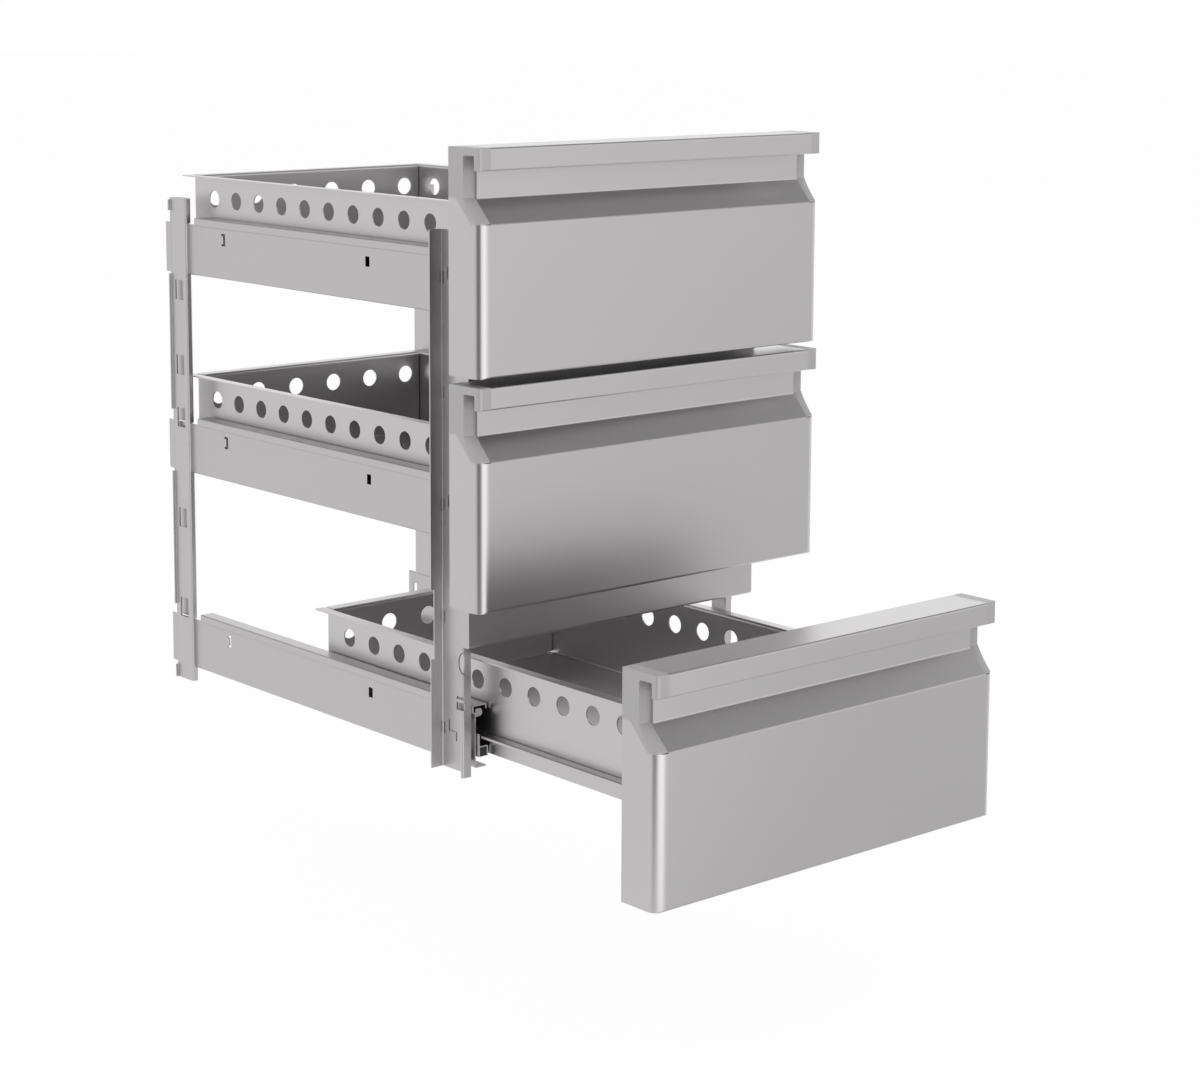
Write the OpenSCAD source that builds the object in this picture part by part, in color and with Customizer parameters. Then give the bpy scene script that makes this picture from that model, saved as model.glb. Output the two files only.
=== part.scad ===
// Three-drawer insert for a refrigerated counter: an open sheet-steel frame, three perforated pan
// trays on two-stage telescopic slides, and three insulated fronts with a full-width finger lip.
// X runs across the fronts, Y from the fronts to the back, Z up. The origin is the centre of the
// front face of the lower cross plate. The bottom drawer stands open.

/* [Fronts] */
// Width of each front
front_w = 450; // [430:5:480]
// Height of each front
front_h = 216; // [210:1:230]
// Gap between one front and the next
front_gap = 8; // [4:1:12]
// Thickness of each front
front_t = 46; // [42:1:54]
// Sheet thickness of the outer skin
skin_t = 1.2; // [0.8:0.1:1.5]
// Height of the band over the finger hollow
band_h = 7.5; // [6:0.5:9]
// Thickness of the hanging lip
lip_t = 7.5; // [6:0.5:9]
// Height of the hanging lip, from the top of the front
lip_h = 21.5; // [18:0.5:26]
// Distance of the finger hollow's back wall from the rear of the front
hollow_d = 25; // [22:0.5:28]
// Drop from the top of the front to where the slope begins
slope_top = 48.5; // [45:0.5:52]
// Drop from the top of the front to where the slope ends
slope_end = 71.5; // [66:0.5:78]
// Width of each end cap
cap_w = 14; // [10:1:18]
// Distance of the end cap's hollow wall from the rear of the front
cap_hollow_d = 22; // [19:0.5:25]
// Drop from the top of the front to the end cap's lower edge
cap_drop = 47.5; // [44:0.5:50]
// Length of the end cap's level lower edge
cap_level = 10.5; // [8:0.5:14]
// Radius of the front's upright corners
corner_r = 12.5; // [8:0.5:16]
// Radius of the lip's upright corners
lip_r = 4.5; // [3:0.5:6]
// Radius of the front's bottom edge
bottom_r = 3; // [2:0.5:5]
// Radius of the front's top edge
top_r = 2; // [1.5:0.5:3]
// Thickness of the inner back sheet
back_t = 1; // [0.8:0.1:1.5]

/* [Seals] */
// Distance from the fronts to the cross plates they close on
seal_gap = 13.5; // [11:0.5:16]
// Width of the door seal
seal_w = 14; // [10:1:18]
// Distance of the door seal from the edges of the front
seal_inset = 16; // [12:1:20]

/* [Trays] */
// Width of each tray over its walls
tray_w = 307; // [302:1:310]
// Length of each tray, from the back of the front
tray_l = 550.5; // [540:0.5:552]
// Height of each tray, over its flange
tray_h = 97.5; // [96:0.5:102]
// Sheet thickness of the tray
tray_t = 1.2; // [1:0.1:1.5]
// Drop from the top of the front to the top of the tray
tray_drop = 59; // [56:0.5:60]
// Width of the tray's side flanges
flange_side = 12; // [9:0.5:13]
// Width of the tray's rear flange
flange_rear = 7; // [5:0.5:9]
// Diameter of the round holes
hole_d = 19.3; // [14:0.1:21]
// Distance between the side holes
hole_pitch = 43.4; // [40:0.1:44]
// Distance from the rear wall to the first side hole
hole_margin = 38.5; // [30:0.5:45]
// Drop from the top of the tray to the centres of the holes
hole_drop = 25; // [20:0.5:30]
// Number of holes in each side wall
hole_count = 12; // [8:1:12]
// Distance between the rear holes
rear_pitch = 51.4; // [46:0.2:53]
// Number of holes in the rear wall
rear_count = 6; // [4:1:6]
// Width of the open seam at each corner
seam_w = 1.4; // [1:0.1:2]
// Diameter of the relief hole at each corner of the floor
relief_d = 10; // [8:0.5:12]

/* [Slides] */
// Sheet thickness of the rails, slides and runners
rail_t = 1.5; // [1.2:0.1:1.6]
// Space between a tray wall and the web of its rail
slide_space = 15; // [14.8:0.1:15.5]
// Clearance between one sliding member and the next
slide_gap = 0.8; // [0.6:0.1:0.9]
// How far the bottom drawer stands open
open_bottom = 248; // [0:1:248]
// Drop from the top of the front to the top of the runner on the tray
runner_drop = 135; // [134:0.5:136]
// Height of the runner on the tray
runner_h = 20; // [18:0.5:21]
// Depth of the runner's outer lip
runner_lip = 3; // [2.5:0.1:4]
// Length of each runner
runner_l = 512; // [490:1:530]
// Height of the gliding pads under the runner
pad_h = 9.2; // [8.8:0.1:9.6]
// Clearance under a gliding pad or over a gliding shoe
glide_gap = 0.3; // [0.2:0.05:0.4]
// Length of each gliding pad and shoe
glide_l = 30; // [20:1:36]
// Depth of the slide's channel
channel_h = 11; // [9:0.5:12]
// Height of the slide's wall over its channel
wall_rise = 12.5; // [11:0.5:14]
// Length of each slide
slide_l = 492; // [480:1:500]
// Distance from the fronts to the front end of the slides
slide_front = 28; // [26:0.5:30]

/* [Rails] */
// Drop from the top of the front to the top of the rail
rail_drop = 104.5; // [102:0.5:106]
// Height of the rail
rail_h = 64; // [63.5:0.5:66]
// Height of the set-out band along the top of the rail
band_rail_h = 9; // [7:0.5:10]
// How far that band stands out from the web
band_out = 2.7; // [2:0.1:2.7]
// Depth of the lip that hangs from the rail's top flange
rail_lip = 5.5; // [4:0.5:7]
// Distance from the fronts to the front end of the rails
rail_front = 31.5; // [31:0.5:33]
// How far the rails pass the rear posts
rail_tail = 16; // [10:0.5:20]
// Distance from the rear posts to the rear end of the rail's top flange
rail_flange_stop = 15.5; // [10:0.5:30]

/* [Frame] */
// Sheet thickness of the posts and cross plates
post_t = 1.5; // [1.2:0.1:2]
// Width of the frame over the webs of its front posts
frame_w = 367; // [366.8:0.2:376]
// Drop from the top of the top front to the top of the posts
post_drop = 84; // [80:1:90]
// Height of the front posts
post_h = 534.5; // [528:0.5:545]
// Distance from the fronts to the front face of the posts
post_front = 33.5; // [33:0.5:36]
// Depth of the web of each front post
post_web = 32.5; // [29:0.5:38]
// Width of the front post's inner flange
flange_in = 10.5; // [8:0.5:10.5]
// Width of the front post's outer flange
flange_out = 16; // [10:0.5:18]
// Height of the rear posts
rear_post_h = 548; // [545:1:560]
// Distance from the rear wall of a tray forward to the front face of the rear posts
rear_post_margin = 11; // [9.5:0.5:14]
// Depth of the web of each rear post
rear_post_web = 31.5; // [28:0.5:34]
// Width of the rear post's front flange
rear_flange = 7.5; // [5:0.5:9]
// Height of each cross plate
plate_h = 91; // [80:1:92]
// Length of each cross plate
plate_w = 382; // [370:2:382]

/* [Hidden] */
$fn = 48;

// One overrun serves every cut
over = 1;

// Levels count from the top drawer down
levels = [0, 1, 2];
TOP = levels[0];
MIDDLE = levels[1];
BOTTOM = levels[2];
LEFT = -1;
RIGHT = 1;
pitch = front_h + front_gap;

// Front, worked out from the sizes above
mid_w = front_w - 2 * cap_w;
slope = (slope_end - slope_top) / (front_t - hollow_d);
slope_len = sqrt(1 + slope * slope);
cap_run = front_t - cap_hollow_d;
cap_rise = slope_end - cap_drop;
cap_foot = cap_level + cap_run;
cap_shift = (sqrt(cap_run * cap_run + cap_rise * cap_rise) - cap_run) / cap_rise;

// Screws that hold a tray to its front
screw_d = 4;
screw_l = 9;
screw_fit = 0.2;
head_d = 8;
head_h = 2.6;
screw_x = 120;
screw_upper = 42;
screw_lower = 84;

// Stations along the rails and rear posts, from the back of the fronts
rear_post_front = tray_l - rear_post_margin;
rail_rear = rear_post_front + rear_post_web + rail_tail;
rail_flange_rear = rear_post_front - rail_flange_stop;

// Stations across the slides, measured from the middle of the unit
tray_half = tray_w / 2;
rail_in = tray_half + slide_space;
rail_out = rail_in + rail_t;
slide_in = tray_half + rail_t + slide_gap;
slide_out = rail_in - slide_gap;
runner_out = slide_out - rail_t - slide_gap;
pad_out = runner_out - rail_t - glide_gap;
lip_in = tray_half + rail_t;

// Drops from the top of a front
deck_drop = runner_drop + rail_t + glide_gap + pad_h;
rail_end = rail_drop + rail_h;
foot_drop = rail_end - rail_t;

// Runner, slide and glide places along Y, from the back of the fronts
runner_front = 3;
pad_places = [30, 205];
shoe_places = [35, 260, slide_l - glide_l];
plug_l = 20;

// Bead under the rail's top flange
bead_w = 8;
bead_h = 8;
bead_drop = 4;
bead_t = 1.2;

// Lanced slots in the web of a rail: distance from the fronts, drop, and height
slot_w = 7;
slot_rear_y = 466.5;
slot_rear_drop = 118.5;
slot_rear_h = 13.5;
slot_front_y = 201;
slot_front_drop = 122.5;
slot_front_h = 10.5;
slot_end = 16;
slot_end_drop = 126;
slot_end_h = 12;
lance_t = 2;
lance_bar = 3.5;
lance_tongue = 9;

// Bracket that hooks a rail to its front post
hook_front = 38;
hook_l = 25;
hook_drop = 118;
hook_h = 44;

// Posts
post_half = frame_w / 2;
rear_half = rail_out + band_out + post_t;
tab_l = 6.5;
notch_out = 4;
notch_drop = 355;
notch_h = 70;
slit_w = 1.8;
slit_h = 12;
slit_drop = 125;
window_l = 9.3;
window_drops = [95, 101];
window_heights = [3, 7.6];
bite_r = 13.5;
bite_y = 26.4;
bite_drop = 61;
catch_y = 42.5;
catch_run = 11.4;
catch_drop = 120.5;
catch_upper = 11.9;
catch_lower = 8.6;
catch_w = 1.7;
catch_sill = 0.8;
rear_lip = 3;
rear_leg = 27;
rear_lip_drop = 2.5;
ear_drop = 98.5;
ear_h = 71;
rear_slot_l = 15.7;
rear_slot_h = 22;
rear_slot_in = 7.3;
rear_slot_shares = [0.167, 0.321, 0.43, 0.639, 0.828];

// Cross plates
plate_depth = post_front - seal_gap;
plate_return = 12;

function level_z(level) = (BOTTOM - level) * pitch - front_gap / 2;
function opened(level) = level == BOTTOM ? open_bottom : 0;
frame_top = level_z(TOP) - post_drop;

// Frames of reference: a closed level, and a drawer where it stands
module at_level(level) translate([0, -seal_gap, level_z(level)]) children();
module at_drawer(level) at_level(level) translate([0, -opened(level), 0]) children();
module at_front() translate([0, -seal_gap, 0]) children();
module on_side(side) if (side == LEFT) mirror([1, 0, 0]) children(); else children();

// Profiles: along_x takes an outline in Y and Z, along_y one in X and Z
module along_x(length) rotate([90, 0, 90]) linear_extrude(length, center = true) children();
module along_y(from, length)
    translate([0, from + length, 0]) rotate([90, 0, 0]) linear_extrude(length) children();

// A block from its low corner
module block(low, size) translate(low) cube(size);

// Outline with two of its corners rounded: the corner is cut square and a disc is put back
module round_off(y, z, r, up) {
    difference() {
        children();
        translate([y - over, up ? z - r : z - over]) square(r + over);
    }
    translate([y + r, up ? z - r : z + r]) circle(r);
}

// Plan of a front, drawn in from its edges by inset
module plan(r, inset) {
    half = front_w / 2 - inset;
    depth = front_t - inset;
    rad = r - inset;
    translate([-half, rad - depth]) square([2 * half, depth - rad + over]);
    translate([rad - half, -depth]) square([2 * (half - rad), depth]);
    for (side = [LEFT, RIGHT]) on_side(side) translate([half - rad, rad - depth]) circle(rad);
}

module plan_block(r, inset)
    translate([0, 0, -front_h - over]) linear_extrude(front_h + 2 * over) plan(r, inset);

// Side view of the front between its end caps, drawn in by inset, with its rear at rear
module full_outline(inset, rear) {
    shift = inset * (slope_len - slope);
    round_off(inset - front_t, inset - front_h, bottom_r - inset, false)
        round_off(inset - front_t, -inset, top_r - inset, true)
            polygon([
                [rear, -inset], [inset - front_t, -inset], [inset - front_t, inset - lip_h],
                [lip_t - inset - front_t, inset - lip_h], [lip_t - inset - front_t, inset - band_h],
                [inset - hollow_d, inset - band_h], [inset - hollow_d, -slope_top - shift],
                [inset - front_t, -slope_end - shift], [inset - front_t, inset - front_h],
                [rear, inset - front_h],
            ]);
}

// Side view of the front below its end caps
module body_outline(inset, rear) {
    shift = inset * cap_shift;
    round_off(inset - front_t, inset - front_h, bottom_r - inset, false)
        polygon([
            [rear, -cap_drop - inset], [shift - cap_level, -cap_drop - inset],
            [shift - cap_foot, -slope_end - inset], [inset - front_t, -slope_end - inset],
            [inset - front_t, inset - front_h], [rear, inset - front_h],
        ]);
}

// Side view of an end cap
module cap_outline() {
    round_off(-front_t, 0, top_r, true)
        polygon([
            [0, 0], [-front_t, 0], [-front_t, -lip_h], [lip_t - front_t, -lip_h], [lip_t - front_t, -band_h],
            [-cap_hollow_d, -band_h], [-cap_hollow_d, -cap_drop], [-front_t, -slope_end],
            [-cap_foot, -slope_end], [-cap_level, -cap_drop], [0, -cap_drop],
        ]);
}

// Space inside the skin
module front_hollow(rear) {
    along_x(mid_w - 2 * skin_t) full_outline(skin_t, rear);
    intersection() {
        along_x(front_w - 2 * skin_t) body_outline(skin_t, rear);
        plan_block(corner_r, skin_t);
    }
}

module back_slab(extra) block([-front_w / 2, -back_t, -front_h], [front_w, back_t + extra, front_h]);

module screw_places(length) {
    for (x = [-screw_x, 0, screw_x], z = [screw_upper, screw_lower])
        translate([x, 0, -tray_drop - z]) rotate([90, 0, 0]) translate([0, 0, -tray_t - head_h]) children();
}

// The tapped holes behind the screws
module screw_holes() screw_places() cylinder(d = screw_d + screw_fit, h = screw_l + tray_t + head_h);

// Folded outer skin: face, slope, hollow wall, top band and hanging lip
module front_skin(level) {
    color("gainsboro") at_drawer(level) difference() {
        union() {
            along_x(mid_w) full_outline(0, 0);
            intersection() {
                along_x(front_w) body_outline(0, 0);
                plan_block(corner_r, 0);
            }
        }
        front_hollow(over);
    }
}

// Foam that fills the skin
module front_core(level) {
    color("wheat") at_drawer(level) difference() {
        front_hollow(0);
        back_slab(over);
        screw_holes();
    }
}

// Inner back sheet
module front_back(level) {
    color("silver") at_drawer(level) difference() {
        intersection() {
            front_hollow(0);
            back_slab(0);
        }
        screw_holes();
    }
}

// Moulded end cap of the lip, the hollow and the slope
module end_cap(level, side) {
    color("darkgray") at_drawer(level) on_side(side) intersection() {
        translate([(front_w - cap_w) / 2, 0, 0]) along_x(cap_w) cap_outline();
        plan_block(lip_r, 0);
    }
}

// Door seal, a ring on the back of the front that closes on the frame
module seal(level) {
    ring_w = front_w - 2 * seal_inset;
    ring_h = front_h - 2 * seal_inset;
    depth = seal_gap - glide_gap;
    color("dimgray") at_drawer(level) difference() {
        block([-ring_w / 2, 0, -seal_inset - ring_h], [ring_w, depth, ring_h]);
        block([seal_w - ring_w / 2, -over, seal_w - seal_inset - ring_h],
            [ring_w - 2 * seal_w, depth + 2 * over, ring_h - 2 * seal_w]);
    }
}

// Folded tray: floor, four walls with open corner seams, side and rear flanges, round holes
module tray(level) {
    inner_w = tray_w - 2 * tray_t;
    color("lightgray") at_drawer(level) translate([0, 0, -tray_drop]) difference() {
        union() {
            difference() {
                block([-tray_half, 0, -tray_h], [tray_w, tray_l, tray_h]);
                block([-inner_w / 2, tray_t, tray_t - tray_h], [inner_w, tray_l - 2 * tray_t, tray_h]);
            }
            for (side = [LEFT, RIGHT]) on_side(side)
                block([inner_w / 2, 0, -tray_t], [flange_side + tray_t, tray_l + flange_rear, tray_t]);
            block([-inner_w / 2, tray_l - tray_t, -tray_t], [inner_w, flange_rear + tray_t, tray_t]);
        }
        for (k = [0 : hole_count - 1])
            translate([-tray_w, tray_l - hole_margin - k * hole_pitch, -hole_drop])
                rotate([0, 90, 0]) cylinder(d = hole_d, h = 2 * tray_w);
        for (k = [0 : rear_count - 1])
            translate([(k - (rear_count - 1) / 2) * rear_pitch, tray_l + over, -hole_drop])
                rotate([90, 0, 0]) cylinder(d = hole_d, h = tray_t + 2 * over);
        for (side = [LEFT, RIGHT]) on_side(side) {
            block([inner_w / 2 - seam_w, tray_l - tray_t - over, tray_t - tray_h],
                [seam_w, flange_rear + tray_t + 2 * over, tray_h]);
            block([inner_w / 2 - seam_w, -over, tray_t - tray_h], [seam_w, tray_t + 2 * over, tray_h]);
            for (y = [relief_d / 2, tray_l - relief_d / 2])
                translate([tray_half - relief_d / 2, y, -tray_h - over])
                    cylinder(d = relief_d, h = tray_t + 2 * over);
        }
        translate([0, 0, tray_drop]) screw_holes();
    }
}

// Pan-head screws through the tray's front wall into the front
module tray_screws(level) {
    color("silver") at_drawer(level) screw_places() {
        cylinder(d = head_d, h = head_h);
        cylinder(d = screw_d, h = screw_l + tray_t);
    }
}

// Runner on the tray wall: an upright leg and a gliding flange with a lip
module runner(level, side) {
    color("silver") at_drawer(level) on_side(side) along_y(runner_front, runner_l) {
        translate([tray_half, -runner_drop - runner_h]) square([rail_t, runner_h]);
        translate([tray_half, -runner_drop - rail_t]) square([runner_out - tray_half, rail_t]);
        translate([runner_out - rail_t, -runner_drop - runner_lip]) square([rail_t, runner_lip]);
    }
}

// Middle member of a telescopic slide: a channel with a raised outer wall
module slide(level, side) {
    color("silver") at_level(level) on_side(side) along_y(slide_front, slide_l) {
        translate([slide_in, -deck_drop - rail_t]) square([slide_out - slide_in, rail_t]);
        translate([slide_in, -deck_drop - channel_h]) square([rail_t, channel_h]);
        translate([slide_out - rail_t, -deck_drop - channel_h]) square([rail_t, channel_h + wall_rise]);
    }
}

// Plastic pads on a slide's channel, shoes in it, and the plug that closes its front end
module glides(level, side) {
    low = slide_in + rail_t;
    width = slide_out - rail_t - low;
    shoe_h = foot_drop - glide_gap - deck_drop - rail_t;
    plug_h = channel_h - rail_t;
    color("dimgray") at_level(level) on_side(side) translate([0, slide_front, 0]) {
        for (y = pad_places)
            block([slide_in, y, -deck_drop], [pad_out - slide_in, glide_l, pad_h]);
        for (y = shoe_places)
            block([low, y, -deck_drop - rail_t - shoe_h], [width, glide_l, shoe_h]);
        block([low, 0, -deck_drop - channel_h], [width, plug_l, plug_h]);
    }
}

// Section of a rail's top: the set-out band, the flange with its lip, and the bead beneath it
module rail_top_outline() {
    translate([rail_in, -rail_drop - band_rail_h]) square([band_out + rail_t, rail_t]);
    translate([rail_in + band_out, -rail_drop - band_rail_h]) square([rail_t, band_rail_h]);
    translate([lip_in, -rail_drop - rail_t]) square([rail_out + band_out - lip_in, rail_t]);
    translate([lip_in, -rail_drop - rail_lip]) square([rail_t, rail_lip]);
    difference() {
        translate([rail_out - bead_w - rail_t, -rail_drop - bead_drop - bead_h])
            square([bead_w + rail_t, bead_h]);
        translate([rail_out - bead_w - rail_t + bead_t, bead_t - rail_drop - bead_drop - bead_h])
            square([bead_w + rail_t - 2 * bead_t, bead_h - 2 * bead_t]);
    }
}

// Section of a rail's web and foot
module rail_web_outline() {
    translate([rail_in, -rail_end]) square([rail_t, rail_h - band_rail_h + rail_t]);
    translate([slide_in, -rail_end]) square([rail_out - slide_in, rail_t]);
}

// Fixed rail of a slide, with its lanced slots and the bracket that hooks on the front post
module rail(level, side) {
    hook_w = post_half - post_t - rail_in;
    color("lightgray") at_level(level) on_side(side) {
        difference() {
            union() {
                along_y(rail_front, rail_flange_rear - rail_front) rail_top_outline();
                along_y(rail_front, rail_rear - rail_front) rail_web_outline();
            }
            difference() {
                block([rail_in - over, slot_rear_y, -slot_rear_drop - slot_rear_h],
                    [rail_t + 2 * over, slot_w, slot_rear_h]);
                block([rail_in - over, slot_rear_y + lance_bar, -slot_rear_drop - slot_rear_h + lance_t],
                    [rail_t + 2 * over, slot_w, lance_tongue]);
            }
            block([rail_in - over, slot_front_y, -slot_front_drop - slot_front_h],
                [rail_t + 2 * over, slot_w / 2, slot_front_h]);
            block([rail_in - over, rail_rear - slot_end, -slot_end_drop - slot_end_h],
                [rail_t + 2 * over, slot_w, slot_end_h]);
            block([rail_in - slide_space, rear_post_front + rear_post_web, -rail_end - over],
                [slide_space, rail_rear - rear_post_front, rail_t + over]);
        }
        difference() {
            block([rail_in, hook_front, -hook_drop - hook_h], [hook_w, hook_l, hook_h]);
            block([rail_in + rail_t, hook_front - over, rail_t - hook_drop - hook_h],
                [hook_w - 2 * rail_t, hook_l + 2 * over, hook_h - 2 * rail_t]);
        }
    }
}

// Front post: a web with an inner and an outer flange, slit at its outer fold, bitten at its inner
// one, and with windows and a lanced catch for each rail
module post_front(side) {
    flange_y = post_front + post_web - post_t;
    cut = post_t + 2 * over;
    step_z = -catch_drop - catch_upper;
    color("lightgray") at_front() on_side(side) translate([0, 0, frame_top]) difference() {
        union() {
            block([post_half - post_t, post_front, -post_h], [post_t, post_web, post_h]);
            block([post_half - flange_in, post_front, -post_h - tab_l], [flange_in, post_t, post_h + tab_l]);
            block([post_half - post_t, flange_y, -post_h], [flange_out, post_t, post_h]);
        }
        block([post_half - post_t + flange_out - notch_out, flange_y - over, -notch_drop - notch_h],
            [notch_out + over, post_t + 2 * over, notch_h]);
        for (level = levels) translate([post_half - post_t - over, 0, level_z(level) - frame_top]) {
            for (k = [0, 1]) {
                block([0, post_front - over, -window_drops[k] - window_heights[k]],
                    [cut, window_l + over, window_heights[k]]);
                block([0, flange_y - slit_w, -slit_drop - slit_h - k * pitch / 2], [cut, slit_w, slit_h]);
            }
            block([0, catch_y + catch_run, step_z], [cut, catch_w, catch_upper]);
            block([0, catch_y, step_z], [cut, catch_run + catch_w, catch_sill]);
            block([0, catch_y, step_z - catch_lower], [cut, catch_w, catch_lower + catch_sill]);
            if (level != TOP)
                translate([0, bite_y, -bite_drop]) rotate([0, 90, 0]) cylinder(r = bite_r, h = cut);
        }
    }
}

// Rear post: a slotted web, a front flange and an inner leg notched round the rails, and a narrow
// rear lip that leaves out the rails' ends
module post_rear(side) {
    color("lightgray") at_front() on_side(side) difference() {
        translate([0, 0, frame_top]) {
            block([rear_half - post_t, rear_post_front, -rear_post_h], [post_t, rear_post_web, rear_post_h]);
            block([rear_half - rear_flange, rear_post_front, -rear_post_h],
                [rear_flange, post_t, rear_post_h]);
            block([rear_half - rear_flange, rear_post_front, -rear_post_h],
                [post_t, rear_leg, rear_post_h]);
            block([rear_half - post_t, rear_post_front + rear_post_web - post_t, -rear_post_h],
                [rear_lip + post_t, post_t, rear_post_h - rear_lip_drop]);
        }
        for (level = levels) translate([0, 0, level_z(level)]) {
            block([rear_half - rear_flange - over, rear_post_front - over, -rail_end - glide_gap],
                [rail_out - rear_half + rear_flange + over, rear_leg + 2 * over,
                    rail_h - band_rail_h + rail_t + 2 * glide_gap]);
            block([rear_half, rear_post_front + rear_post_web - post_t - over, -ear_drop - ear_h],
                [rear_lip + over, post_t + 2 * over, ear_h]);
        }
        for (share = rear_slot_shares)
            block([rear_half - post_t - over, rear_post_front + rear_slot_in,
                frame_top - share * rear_post_h - rear_slot_h],
                [post_t + 2 * over, rear_slot_l, rear_slot_h]);
    }
}

// Cross plate between two levels: the face that the seals close on, folded back on all four sides
module cross_plate(level) {
    low = -plate_h / 2;
    color("silver") translate([0, 0, level_z(level) - front_h - front_gap / 2]) difference() {
        along_x(plate_w) translate([0, low]) square([plate_depth, plate_h]);
        along_x(plate_w - 2 * post_t) {
            translate([post_t, post_t + low]) square([plate_depth - 2 * post_t, plate_h - 2 * post_t]);
            translate([post_t, plate_return + low]) square([plate_depth, plate_h - 2 * plate_return]);
        }
    }
}

front_skin(TOP);  // front_skin_top
front_skin(MIDDLE);  // front_skin_middle
front_skin(BOTTOM);  // front_skin_bottom
front_core(TOP);  // front_core_top
front_core(MIDDLE);  // front_core_middle
front_core(BOTTOM);  // front_core_bottom
front_back(TOP);  // front_back_top
front_back(MIDDLE);  // front_back_middle
front_back(BOTTOM);  // front_back_bottom
end_cap(TOP, LEFT);  // end_cap_left_top
end_cap(MIDDLE, LEFT);  // end_cap_left_middle
end_cap(BOTTOM, LEFT);  // end_cap_left_bottom
end_cap(TOP, RIGHT);  // end_cap_right_top
end_cap(MIDDLE, RIGHT);  // end_cap_right_middle
end_cap(BOTTOM, RIGHT);  // end_cap_right_bottom
seal(TOP);  // seal_top
seal(MIDDLE);  // seal_middle
seal(BOTTOM);  // seal_bottom
tray(TOP);  // tray_top
tray(MIDDLE);  // tray_middle
tray(BOTTOM);  // tray_bottom
tray_screws(TOP);  // tray_screws_top
tray_screws(MIDDLE);  // tray_screws_middle
tray_screws(BOTTOM);  // tray_screws_bottom
runner(TOP, LEFT);  // runner_left_top
runner(MIDDLE, LEFT);  // runner_left_middle
runner(BOTTOM, LEFT);  // runner_left_bottom
runner(TOP, RIGHT);  // runner_right_top
runner(MIDDLE, RIGHT);  // runner_right_middle
runner(BOTTOM, RIGHT);  // runner_right_bottom
slide(TOP, LEFT);  // slide_left_top
slide(MIDDLE, LEFT);  // slide_left_middle
slide(BOTTOM, LEFT);  // slide_left_bottom
slide(TOP, RIGHT);  // slide_right_top
slide(MIDDLE, RIGHT);  // slide_right_middle
slide(BOTTOM, RIGHT);  // slide_right_bottom
glides(TOP, LEFT);  // glides_left_top
glides(MIDDLE, LEFT);  // glides_left_middle
glides(BOTTOM, LEFT);  // glides_left_bottom
glides(TOP, RIGHT);  // glides_right_top
glides(MIDDLE, RIGHT);  // glides_right_middle
glides(BOTTOM, RIGHT);  // glides_right_bottom
rail(TOP, LEFT);  // rail_left_top
rail(MIDDLE, LEFT);  // rail_left_middle
rail(BOTTOM, LEFT);  // rail_left_bottom
rail(TOP, RIGHT);  // rail_right_top
rail(MIDDLE, RIGHT);  // rail_right_middle
rail(BOTTOM, RIGHT);  // rail_right_bottom
post_front(LEFT);  // post_front_left
post_front(RIGHT);  // post_front_right
post_rear(LEFT);  // post_rear_left
post_rear(RIGHT);  // post_rear_right
cross_plate(TOP);  // cross_plate_upper
cross_plate(MIDDLE);  // cross_plate_lower
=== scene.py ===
"""Looks of the three-drawer insert: folded stainless sheet, perforated trays, slides and insulated fronts.

Sizes in the classes are millimetres. A level's own places are counted from the back and the top of its
front, as the fronts hang in the counter; Station carries them to the shared frame in metres.
"""

import logging
from dataclasses import dataclass
from enum import Enum
from functools import cache
from typing import Any, Iterable, Sequence

import bmesh
import bpy
import numpy as np
from mathutils import Matrix

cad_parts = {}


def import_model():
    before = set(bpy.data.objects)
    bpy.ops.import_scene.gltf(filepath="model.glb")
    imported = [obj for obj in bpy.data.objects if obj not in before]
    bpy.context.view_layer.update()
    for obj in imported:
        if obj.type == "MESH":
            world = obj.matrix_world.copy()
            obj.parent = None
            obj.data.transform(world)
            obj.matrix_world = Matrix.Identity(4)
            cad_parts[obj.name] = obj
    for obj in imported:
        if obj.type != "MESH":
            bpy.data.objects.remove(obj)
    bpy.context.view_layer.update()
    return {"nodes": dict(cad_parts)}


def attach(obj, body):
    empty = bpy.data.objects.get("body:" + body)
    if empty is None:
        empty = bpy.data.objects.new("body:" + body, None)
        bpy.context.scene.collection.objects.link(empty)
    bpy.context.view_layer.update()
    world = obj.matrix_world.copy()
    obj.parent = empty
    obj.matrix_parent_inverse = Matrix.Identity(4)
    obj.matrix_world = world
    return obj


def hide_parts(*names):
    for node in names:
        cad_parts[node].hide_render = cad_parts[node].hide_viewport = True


logging.basicConfig(level=logging.INFO, format="%(message)s")
LOG = logging.getLogger("drawer_insert")
Piece = bpy.types.Object
Pair = tuple[float, float]
Triple = tuple[float, float, float]
# Front, rear, bottom and top of a slot
Cut = tuple[float, float, float, float]
MM = 0.001
SIDES = {"left": -1.0, "right": 1.0}
# Back of the shut fronts in the shared frame, in millimetres
FRONTS_BACK = -13.5
# Distance of an arc's holding points from it, in millimetres
HOLD = 0.2
# Distance within which two points of a mesh are one, in metres
MERGE = 2e-6
# Length below which a vector has no direction, and gap in an outline below which two points are one
TINY, SAME = 1e-12, 1e-5
# Sines of the stations round an upright corner
QUARTER = np.sin(np.linspace(0.0, np.pi / 2, 10))
# Angle from which an edge is sharp, and width from which a face is shaded flat, in millimetres
SHARP, WIDE = np.radians(38.0), 3.0


class Axis(Enum):
    """Direction along which an outline is carried, and where its two numbers and the station go."""

    X = (2, 0, 1)
    Y = (0, 2, 1)
    Z = (0, 1, 2)


class Turn(Enum):
    """Side of a drawn line on which the sheet lies."""

    LEFT = 1.0
    RIGHT = -1.0


class Join(Enum):
    """How one solid meets another."""

    CUT = "DIFFERENCE"
    WELD = "UNION"


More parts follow.
